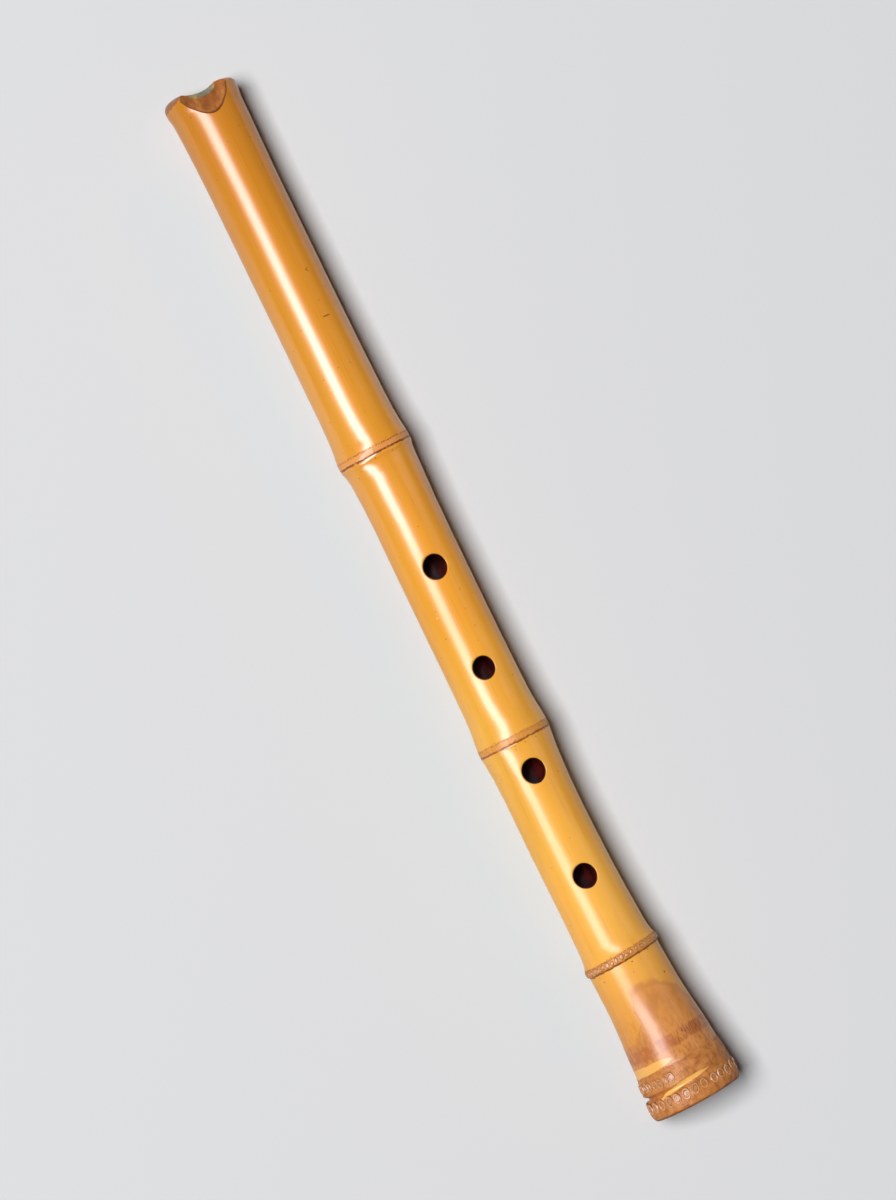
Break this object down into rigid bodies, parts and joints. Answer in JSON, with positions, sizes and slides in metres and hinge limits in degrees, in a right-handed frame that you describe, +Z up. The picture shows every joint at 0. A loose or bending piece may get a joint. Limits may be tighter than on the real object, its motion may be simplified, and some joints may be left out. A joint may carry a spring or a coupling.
{
  "type": "shakuhachi",
  "caption": "End-blown flute cut from the root end of one bamboo culm, with finger holes in front, a thumb hole behind, a slanting blowing edge and a flared ring of root stubs.",
  "frame": {"origin": "On the surface that the flute lies on, under the middle of its bounding box", "axes": "+X along the flute from the root end to the mouth, +Z up with the finger holes on top, +Y to the player's right"},
  "size_m": [0.5468, 0.0488, 0.0465],
  "materials": {
    "bamboo": "polished, amber, glossy",
    "horn": "polished pale buffalo horn",
    "paste": "matte stone powder bound with lacquer",
    "lacquer": "glossy dark red lacquer"
  },
  "bodies": {
    "root": {"bamboo_culm": "bamboo", "blowing_edge_inlay": "horn", "bore_lacquer": "lacquer", "lower_bore_paste": "paste", "middle_bore_paste": "paste", "upper_bore_paste": "paste", "finger_hole_1_lacquer": "lacquer", "finger_hole_2_lacquer": "lacquer", "finger_hole_3_lacquer": "lacquer", "finger_hole_4_lacquer": "lacquer", "thumb_hole_lacquer": "lacquer"}
  },
  "joints": []
}
